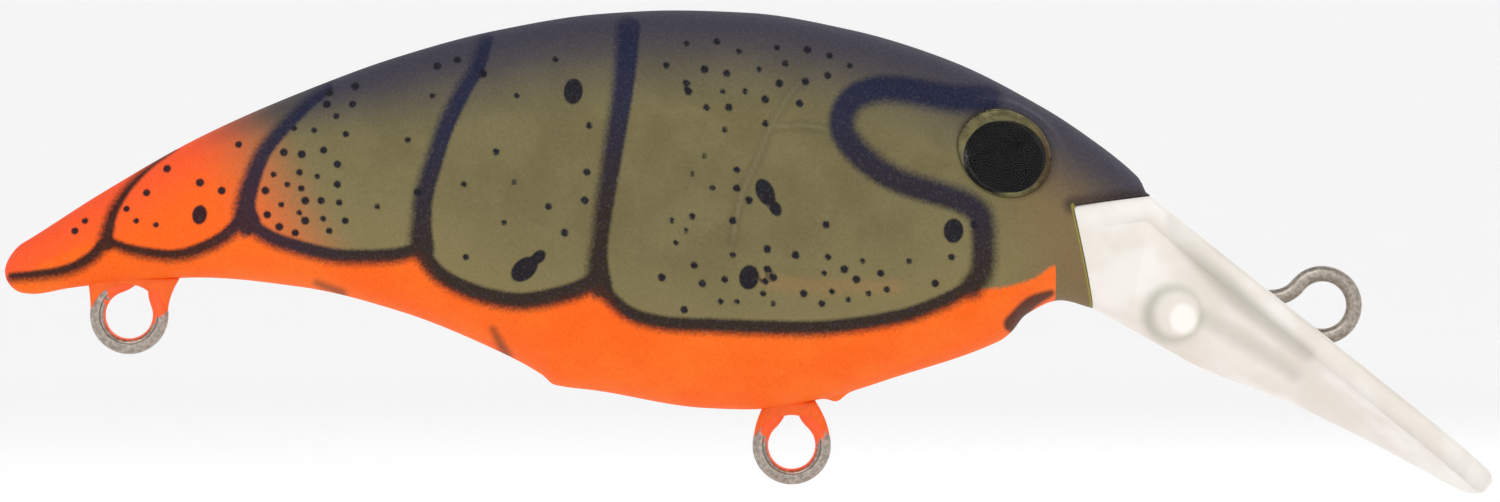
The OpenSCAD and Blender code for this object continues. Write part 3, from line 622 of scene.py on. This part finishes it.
def paintWeb(name, eye, left, right):
    # paint pooled over the top of a ring: at each angle a rounded bar from the wire's middle out to the skin
    # or the side, the nearer; the side is shoulder + (reach - shoulder) times the height's share squared
    w = web
    angle = np.linspace(math.radians(8), math.radians(172), w["steps"])[:, None]
    k = np.arange(w["points"]) * 2 * math.pi / w["points"]
    rise = skinShape(np.array([eye[0]]))[1][0] - eye[1] + w["sunk"]
    reach = np.where(angle < math.pi / 2, right, left)
    outer = np.full_like(angle, w["shoulder"])
    for _ in range(12):
        share = np.clip(outer * np.sin(angle) / rise, 0, 1)
        side = mix(w["shoulder"], reach, share ** 2) / np.maximum(np.abs(np.cos(angle)), 1e-3)
        outer = mix(outer, np.minimum(side, rise / np.sin(angle)), 0.6)
    outer = np.maximum(outer, w["inner"] + 0.1)
    bar = np.sign(np.cos(k)) * np.abs(np.cos(k)) ** w["power"]
    far = mix(w["inner"], outer, (1 + bar) / 2)
    high = np.clip(far * np.sin(angle) / rise, 0, 1)
    ends = np.sin(np.linspace(0.12, math.pi - 0.12, w["steps"]))[:, None] ** 0.3
    y = (w["thick"] * ends + w["foot"] * high ** 4) * np.sign(np.sin(k)) * np.abs(np.sin(k)) ** w["power"]
    ring = np.stack([eye[0] + far * np.cos(angle), y, eye[1] + far * np.sin(angle)], -1)
    n = w["points"]
    faces = gridFaces(len(angle), n, True).tolist() + capFaces(len(angle), n)
    return newPiece(name, None, ring.reshape(-1, 3), faces)


bellyWeb = paintWeb("belly_paint_web", bellyEye, 1.25, 1.15)
tailWeb = paintWeb("tail_paint_web", tailEye, 2.1, 2.6)


def layers(tree, base, rows):
    # each row laid over the last: strength where its stored distance is under low, falling to none at high
    for name, low, high, strength, colour in rows:
        base = blendColour(tree, band(tree, held(tree, name), low, high, strength, 0.0), base, linear(colour))
    return base


coat = {"olive": "#6F6645", "paleOlive": "#786F4C", "lowOlive": "#81764F", "belly": "#FF6614",
        "paleBelly": "#FF721F", "tailTop": "#FF5A2C", "tail": "#FF6618", "back": "#3C3A4A", "ink": "#1D203A",
        "lowInk": "#2B1F1A", "inkBloom": "#34406E", "tailInk": "#2A1B17", "dust": "#A7A292",
        "soot": "#17171F"}
# Stored distance, full under, none over, strength, colour.
# the two gill rows are painted shade along the gill grooves' sides and a painted highlight down their middle
overFlank = [("mouthSide", 0.6, 4.5, 0.55, "#7D6145"), ("gill", 0.0, 0.3, 0.3, "#5A5238"),
             ("gill", -0.15, 0.02, 0.35, "#8C8363"), ("tanBand", -0.1, 0.6, 0.2, "#B07A48")]
# ink marks, then painted shade under the head's edge over the lip and a painted highlight line on the mouth's
# side edge
overInkAndPaintedLight = [("spot", -0.06, 0.05, 0.97, "#14131F"), ("chinMark", -0.14, 0.14, 0.92, "#33241C"),
           ("smudge", -0.15, 0.35, 0.7, "#4A2E1E"), ("mouthTop", 0.1, 0.7, 0.75, "#33292A"),
           ("mouthSide", 0.05, 0.13, 0.85, "#9A9140")]


def airbrushedLacquer():
    # matte lacquer over moulded plastic: soft olive, slate back, hot orange belly, dusty airbrushed edges,
    # painted shade and highlight along the gill grooves and the mouth's edges
    made, tree = newMaterial("airbrushed_matte_lacquer")
    c = {name: linear(colour) for name, colour in coat.items()}
    cloud = noise(tree, 0.35, 4, 0.55)
    dust = noise(tree, 7.0, 2, 0.6)
    wander = sums(tree, "MULTIPLY", sums(tree, "SUBTRACT", dust, 0.5), 1.2)  # frays every sprayed edge
    olive = blendColour(tree, band(tree, cloud, 0.35, 0.68), c["olive"], c["paleOlive"])
    olive = blendColour(tree, band(tree, held(tree, "fromBelly"), 2.5, 9.0), c["lowOlive"], olive)
    orange = blendColour(tree, band(tree, cloud, 0.3, 0.7), c["belly"], c["paleBelly"])
    tail = blendColour(tree, band(tree, held(tree, "fromBack"), 0.0, 3.5), c["tailTop"], c["tail"])
    glow = band(tree, sums(tree, "ADD", held(tree, "tailGlow"), wander), 10.0, 17.0)
    flank = layers(tree, blendColour(tree, glow, tail, olive), overFlank)
    depth = sums(tree, "ADD", held(tree, "fromBack"), sums(tree, "MULTIPLY", wander, 0.5))
    reach = band(tree, held(tree, "along"), 8.0, 24.0, 0.9, 5.2)
    shade = sums(tree, "MULTIPLY", band(tree, depth, 0.3, reach, 1.0, 0.0),
                 band(tree, held(tree, "along"), 8.5, 16.5, 0.0, 0.97))
    flank = blendColour(tree, shade, flank, c["back"])
    edge = sums(tree, "ADD", held(tree, "flank"), sums(tree, "MULTIPLY", wander, 0.35))
    paint = blendColour(tree, band(tree, edge, -0.16, 0.12), orange, flank)
    ink = blendColour(tree, band(tree, held(tree, "fromBack"), 3.0, 11.0), c["ink"], c["lowInk"])
    ink = blendColour(tree, band(tree, dust, 0.55, 0.75, 0.0, 0.35), ink, c["inkBloom"])
    ink = blendColour(tree, band(tree, held(tree, "along"), 9.0, 15.0), c["tailInk"], ink)
    grit = sums(tree, "ADD", held(tree, "ink"), sums(tree, "MULTIPLY", wander, 0.22))
    # painted shade under the head's edge and a painted highlight on the mouth's side edge go on with the ink
    paint = layers(tree, blendColour(tree, band(tree, grit, -0.2, 0.24, 0.97, 0.0), paint, ink), overInkAndPaintedLight)
    sand = noise(tree, 8.0, 2, 0.65)
    paint = blendColour(tree, band(tree, sand, 0.5, 0.75, 0.0, 0.08), paint, c["dust"])
    paint = blendColour(tree, band(tree, sand, 0.5, 0.25, 0.0, 0.15), paint, c["soot"])
    grain = noise(tree, 22.0, 2, 0.6)
    bump = add(tree, "Bump", {"Height": grain, "Strength": 0.12, "Distance": 0.02 * mm})
    rough = band(tree, dust, 0.3, 0.7, 0.56, 0.68)
    finishSurface(tree, {"Base Color": paint, "Roughness": rough, "IOR": 1.48, "Specular IOR Level": 0.12,
                         "Normal": (bump, 0)})
    return made


# painted shade under the plate's edge, along the keel and round the boss, and a painted highlight in the
# boss's middle
overLip = [("plateShade", -0.2, 0.5, 0.7, "#BAB8AB"), ("keelShade", -0.1, 0.6, 0.6, "#C6C4B8"),
           ("bossRing", 0.0, 0.62, 0.75, "#B4B6A6"), ("bossEye", 0.55, 0.95, 0.85, "#FFFDF8")]


def milkyPolycarbonate():
    # frosted milky plastic: warm haze, painted grey shade under the plate's edge, along the keel and round
    # the boss, a painted highlight in the boss's middle, soft gloss
    made, tree = newMaterial("milky_translucent_polycarbonate")
    haze = noise(tree, 0.22, 3, 0.5)
    tint = blendColour(tree, band(tree, haze, 0.36, 0.64), linear("#E6DFD5"), linear("#F5F1EB"))
    tint = layers(tree, tint, overLip)
    scuff = noise(tree, 0.6, 4, 0.55)
    finishSurface(tree, {"Base Color": tint, "Roughness": band(tree, scuff, 0.3, 0.7, 0.34, 0.4), "IOR": 1.58,
                         "Specular IOR Level": 0.25})
    return made


def stainlessWire(name, sprayed):
    # dull drawn stainless, streaky; on the hangers the body's orange covers the upper part with a ragged
    # edge and lines the ring's hole, and a dark line of painted shade runs beside it
    made, tree = newMaterial(name)
    streak = noise(tree, 5.0, 3, 0.6)
    steel = blendColour(tree, band(tree, streak, 0.3, 0.7), linear("#8F857B"), linear("#B9B0A6"))
    rough = band(tree, streak, 0.25, 0.75, 0.3, 0.46)
    bump = add(tree, "Bump", {"Height": streak, "Strength": 0.15, "Distance": 0.02 * mm})
    settings = {"Base Color": steel, "Roughness": rough, "Metallic": 1.0, "Normal": (bump, 0)}
    if sprayed:
        inward = held(tree, "inward")
        ragged = sums(tree, "MULTIPLY", sums(tree, "SUBTRACT", noise(tree, 1.1, 3, 0.6), 0.5), 2.0)
        height = sums(tree, "ADD", held(tree, "upNeck"), ragged)
        height = sums(tree, "ADD", height, sums(tree, "MULTIPLY", inward, 0.35))
        # a dark line of painted shade beside the paint lining the hole
        edgeShadeGap = sums(tree, "ABSOLUTE", sums(tree, "SUBTRACT", inward, 0.3), 0.0)
        steel = blendColour(tree, band(tree, edgeShadeGap, 0.04, 0.14, 0.75, 0.0), steel, linear("#4A423D"))
        lining = band(tree, inward, 0.72, 0.86, 0.0, 0.9)
        paint = sums(tree, "MAXIMUM", band(tree, height, 0.35, 0.55), lining)
        settings["Base Color"] = blendColour(tree, paint, steel, linear("#FF5C16"))
        settings["Metallic"] = sums(tree, "SUBTRACT", 1.0, paint)
        settings["Roughness"] = add(tree, "Mix", {0: paint, 2: rough, 3: 0.45}), 0
    finishSurface(tree, settings)
    return made


def oliveGoldDisc():
    # thin gold lacquer over olive: pale behind the pupil, darkened towards the nose by painted shade, with
    # the pupil's printed edge, where (x over 1.08 half widths) squared plus (z over a half height) squared is
    # about 1
    made, tree = newMaterial("olive_gold_lacquered_disc")
    place = add(tree, "SeparateXYZ", {0: (add(tree, "TexCoord"), "Object")})
    start = tailX + eyeSpot[0] * mm
    grain = noise(tree, 5.0, 3, 0.6)
    # painted shade: the disc darkens to brown towards the nose
    noseSideShade = band(tree, (place, 0), start + 0.6 * mm, start + 2.3 * mm)
    tone = blendColour(tree, noseSideShade, linear("#A39A66"), linear("#6A4A16"))
    tone = blendColour(tree, band(tree, grain, 0.4, 0.7, 0.0, 0.5), tone, linear("#857A45"))
    pupilLow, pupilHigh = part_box("right_eye_pupil")
    centre, half = (pupilLow + pupilHigh) / 2, (pupilHigh - pupilLow) / 2
    off = [sums(tree, "DIVIDE", sums(tree, "SUBTRACT", (place, i), centre[i]), half[i] * k)
           for i, k in ((0, 1.08), (2, 1.0))]
    off = sums(tree, "ADD", *[sums(tree, "MULTIPLY", o, o) for o in off])
    tone = blendColour(tree, band(tree, off, 0.98, 1.06, 1.0, 0.0), tone, linear("#0A0A0B"))
    rough = band(tree, grain, 0.3, 0.7, 0.26, 0.38)
    finishSurface(tree, {"Base Color": tone, "Roughness": rough, "Metallic": 0.3})
    return made


def plainFinish(name, colour, rough, lumps, spread, lift, sockets):
    # one colour that drifts down to 0.86 of itself, roughness from rough to rough plus spread, a faint bump
    made, tree = newMaterial(name)
    drift = noise(tree, lumps, 3, 0.55)
    light = linear(colour)
    dark = tuple(c * 0.86 for c in light[:3]) + (1,)
    inputs = {"Base Color": blendColour(tree, band(tree, drift, 0.3, 0.7), dark, light),
              "Roughness": band(tree, drift, 0.3, 0.7, rough, rough + spread), **sockets}
    if lift:
        inputs["Normal"] = (add(tree, "Bump", {"Height": drift, "Strength": 0.2, "Distance": lift * mm}), 0)
    finishSurface(tree, inputs)
    return made


lacquer = airbrushedLacquer()
clearLip = milkyPolycarbonate()
bareWire = stainlessWire("dull_stainless_wire", False)
sprayedWire = stainlessWire("orange_sprayed_wire", True)
goldDisc = oliveGoldDisc()
# Colour, roughness, lumps a millimetre, spread, bump in millimetres and the shader's own sockets.
thickPaint = plainFinish("pooled_orange_lacquer", "#FF6A1C", 0.4, 3.0, 0.1, 0.03,
                         {"Specular IOR Level": 0.3})  # smooth paint that ran and set thick
blackPrint = plainFinish("glossy_black_print", "#0A0A0B", 0.3, 3.0, 0.06, 0.0,
                         {"Specular IOR Level": 0.05})  # stays black under the lamps
clearCap = plainFinish("polished_clear_resin", "#FFFFFF", 0.03, 2.0, 0.02, 0.0,
                       {"Transmission Weight": 1.0, "IOR": 1.2})  # glint only, the pupil shows through
shot = plainFinish("dull_iron_shot", "#5A5B5E", 0.45, 3.0, 0.1, 0.02, {"Metallic": 0.9})  # cast, unpolished
bearing = plainFinish("polished_bearing_steel", "#C9CACD", 0.12, 2.0, 0.06, 0.0,
                      {"Metallic": 1.0})  # mirror-like


def wear(piece, material):
    # the piece's only material
    piece.data.materials.clear()
    piece.data.materials.append(material)


for piece, material in ((rightSkin, lacquer), (leftSkin, lacquer), (bellyWeb, thickPaint),
                        (tailWeb, thickPaint), (lipPiece, clearLip), (tieWire, bareWire),
                        (bellyWire, sprayedWire), (tailWire, sprayedWire)):
    wear(piece, material)
for node, piece in frame["nodes"].items():
    for word, material in (("eye_disc", goldDisc), ("eye_pupil", blackPrint), ("eye_dome", clearCap),
                           ("_ballast", shot), ("rattle_ball", bearing)):
        if word in node:
            wear(piece, material)
print("materials done")

low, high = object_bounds()
middle = (low + high) / 2
sweep = {"under": 0.012, "bendAt": 1.5, "bend": 0.9, "wallTop": 2.6, "sides": 72}
lamps = {"key": ((-0.15, -0.45, 0.45), 0.35, 0.8), "back": ((0.2, 0.45, 0.4), 0.4, 0.5),
         "low_fill": ((0.1, -0.5, 0.0), 0.4, 0.15)}  # place, size, power
view = {"lens": 200, "sensor": 36, "width": 75 * mm, "across": 37.25 * mm, "height": 2.7 * mm}


def paperSweep():
    # flat disc that curves up into a round wall by a quarter circle: the profile r, z is turned round the
    # upright axis, so x is r times cosine and y is r times sine
    w = sweep
    turn = np.linspace(0, math.pi / 2, 16)
    wallAt = w["bendAt"] + w["bend"]
    r = np.concatenate([[0, 0.2, 0.8, 1.4], w["bendAt"] + w["bend"] * np.sin(turn), [wallAt, wallAt]])
    z = np.concatenate([np.zeros(4), w["bend"] - w["bend"] * np.cos(turn), [2 * w["bend"], w["wallTop"]]])
    a = np.linspace(0, 2 * math.pi, w["sides"], endpoint=False)
    x, y = middle.x + np.outer(r, np.cos(a)), np.outer(r, np.sin(a))
    verts = np.stack([x, y, low.z - w["under"] + np.outer(z, np.ones_like(a))], -1)
    mesh = bpy.data.meshes.new("floor")
    faces = gridFaces(len(r), w["sides"], True, flip=True)
    mesh.from_pydata(verts.reshape(-1, 3).tolist(), [], faces.tolist())
    mesh.polygons.foreach_set("use_smooth", np.full(len(mesh.polygons), True))
    made = bpy.data.objects.new("floor", mesh)
    bpy.context.scene.collection.objects.link(made)
    return made


def softbox(name, at, size, power):
    # round soft lamp that faces the lure's middle
    light = bpy.data.lights.new(name, "AREA")
    light.shape, light.size, light.energy = "DISK", size, power
    made = bpy.data.objects.new(name, light)
    bpy.context.scene.collection.objects.link(made)
    made.location = at
    made.rotation_euler = (middle - Vector(at)).to_track_quat("-Z", "Y").to_euler()


paper, paperTree = newMaterial("pale_paper_floor")  # even, shadow-softening white
finishSurface(paperTree, {"Base Color": linear("#EAEAEA"), "Roughness": 0.9,
                          "Emission Color": (1, 1, 1, 1), "Emission Strength": 0.3})
wear(paperSweep(), paper)
for name, (at, size, power) in lamps.items():
    softbox(name, at, size, power)
world = bpy.data.worlds.new("studio")
bpy.context.scene.world = world
world.use_nodes = True
world.node_tree.nodes["Background"].inputs["Color"].default_value = (1, 1, 1, 1)
world.node_tree.nodes["Background"].inputs["Strength"].default_value = 0.45
bpy.context.scene.view_settings.view_transform = "Standard"

# Square to the side; the distance is the width seen, times lens over sensor.
camera = bpy.data.cameras.new("camera")
camera.lens, camera.sensor_width = view["lens"], view["sensor"]
camera.clip_start, camera.clip_end = 0.01, 20
cameraPiece = bpy.data.objects.new("camera", camera)
bpy.context.scene.collection.objects.link(cameraPiece)
away = view["width"] * view["lens"] / view["sensor"]
cameraPiece.location = (tailX + view["across"], -away, view["height"])
cameraPiece.rotation_euler = (math.radians(90), 0, 0)
bpy.context.scene.camera = cameraPiece
print("stage done")
